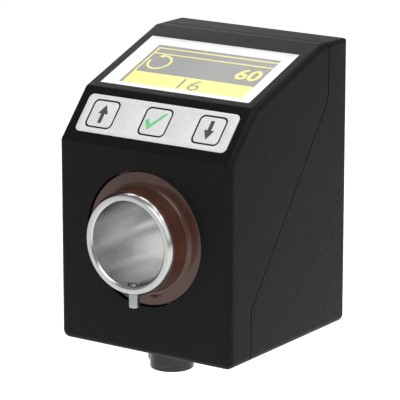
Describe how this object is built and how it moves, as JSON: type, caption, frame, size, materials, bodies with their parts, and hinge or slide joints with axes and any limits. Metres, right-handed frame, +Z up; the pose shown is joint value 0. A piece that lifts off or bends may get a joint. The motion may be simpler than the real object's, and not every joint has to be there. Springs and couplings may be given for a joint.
{
  "type": "electronic position indicator",
  "caption": "Black hollow-shaft position indicator with a sloping display, a key strip, a steel shaft sleeve in an amber flange and threaded bus connectors underneath.",
  "frame": {"origin": "on the hollow shaft axis, in the plane of the rear mounting face", "axes": "+Z up, +X to the operator's right, +Y along the shaft into the machine, -Y towards the operator"},
  "size_m": [0.048, 0.0654, 0.0786],
  "materials": {
    "black_plastic": "fine satin black",
    "black_rubber": "matte",
    "clear_plastic": "clear, smooth",
    "white_plastic": "satin white",
    "lcd_glass": "smooth grey display field",
    "circuit_board": "green solder mask",
    "silver_film": "satin light grey foil",
    "stainless_steel": "turned, fine brushed",
    "amber_plastic": "glossy dark amber",
    "gear_plastic": "natural ivory",
    "ferrite": "sintered grey",
    "black_resin": "matte black",
    "flex_film": "orange polyimide",
    "nickel_plate": "nickel plated, satin"
  },
  "bodies": {
    "housing": {"front_cover": "black_plastic", "rear_housing": "black_plastic", "housing_seal": "black_rubber", "front_shaft_seal": "black_rubber", "rear_shaft_seal": "black_rubber", "display_window": "clear_plastic", "display_bezel": "white_plastic", "light_guide": "white_plastic", "lcd_panel": "lcd_glass", "display_board": "circuit_board", "keypad_board": "circuit_board", "sensor_board": "circuit_board", "main_board": "circuit_board", "keypad_foil": "silver_film", "torque_pin": "stainless_steel", "gear_axle_a": "stainless_steel", "gear_axle_b": "stainless_steel", "cover_screw_1": "stainless_steel", "cover_screw_2": "stainless_steel", "cover_screw_3": "stainless_steel", "cover_screw_4": "stainless_steel", "dome_up": "stainless_steel", "dome_enter": "stainless_steel", "dome_down": "stainless_steel", "front_bearing": "gear_plastic", "rear_bearing": "gear_plastic", "gear_carrier": "gear_plastic", "sensor_a": "black_resin", "sensor_b": "black_resin", "processor": "black_resin", "bus_socket_insert": "black_resin", "bus_plug_insert": "black_resin", "ribbon_cable": "flex_film", "bus_socket_shell": "nickel_plate", "bus_socket_nut": "nickel_plate", "bus_plug_shell": "nickel_plate", "bus_plug_nut": "nickel_plate", "bus_plug_pin_1": "nickel_plate", "bus_plug_pin_2": "nickel_plate", "bus_plug_pin_3": "nickel_plate", "bus_plug_pin_4": "nickel_plate"},
    "shaft": {"hollow_shaft": "stainless_steel", "shaft_hub": "amber_plastic", "clamp_screw": "stainless_steel", "shaft_gear": "gear_plastic", "retaining_ring": "stainless_steel"},
    "gear_a": {"encoder_gear_a": "gear_plastic", "magnet_a": "ferrite"},
    "gear_b": {"encoder_gear_b": "gear_plastic", "magnet_b": "ferrite"},
    "up_key": {"key_up": "silver_film"},
    "enter_key": {"key_enter": "silver_film"},
    "down_key": {"key_down": "silver_film"}
  },
  "joints": [
    {"name": "shaft_spin", "type": "hinge", "parent": "housing", "child": "shaft", "pos_m": [0, 0, 0], "axis": [0, 1, 0], "continuous": true},
    {"name": "gear_a_spin", "type": "hinge", "parent": "housing", "child": "gear_a", "pos_m": [-0.00828, -0.0327, 0.01776], "axis": [0, 1, 0], "continuous": true},
    {"name": "gear_b_spin", "type": "hinge", "parent": "housing", "child": "gear_b", "pos_m": [0.00843, -0.0327, 0.01808], "axis": [0, 1, 0], "continuous": true},
    {"name": "up_key_press", "type": "slide", "parent": "housing", "child": "up_key", "axis": [0, 0.7423, -0.67], "range_m": [0, 0.0004], "stiffness_N_per_m": 800},
    {"name": "enter_key_press", "type": "slide", "parent": "housing", "child": "enter_key", "axis": [0, 0.7423, -0.67], "range_m": [0, 0.0004], "stiffness_N_per_m": 800},
    {"name": "down_key_press", "type": "slide", "parent": "housing", "child": "down_key", "axis": [0, 0.7423, -0.67], "range_m": [0, 0.0004], "stiffness_N_per_m": 800}
  ],
  "couplings": [
    {"joint": "gear_a_spin", "follows": "shaft_spin", "ratio": -2.5},
    {"joint": "gear_b_spin", "follows": "shaft_spin", "ratio": -2.3529}
  ]
}
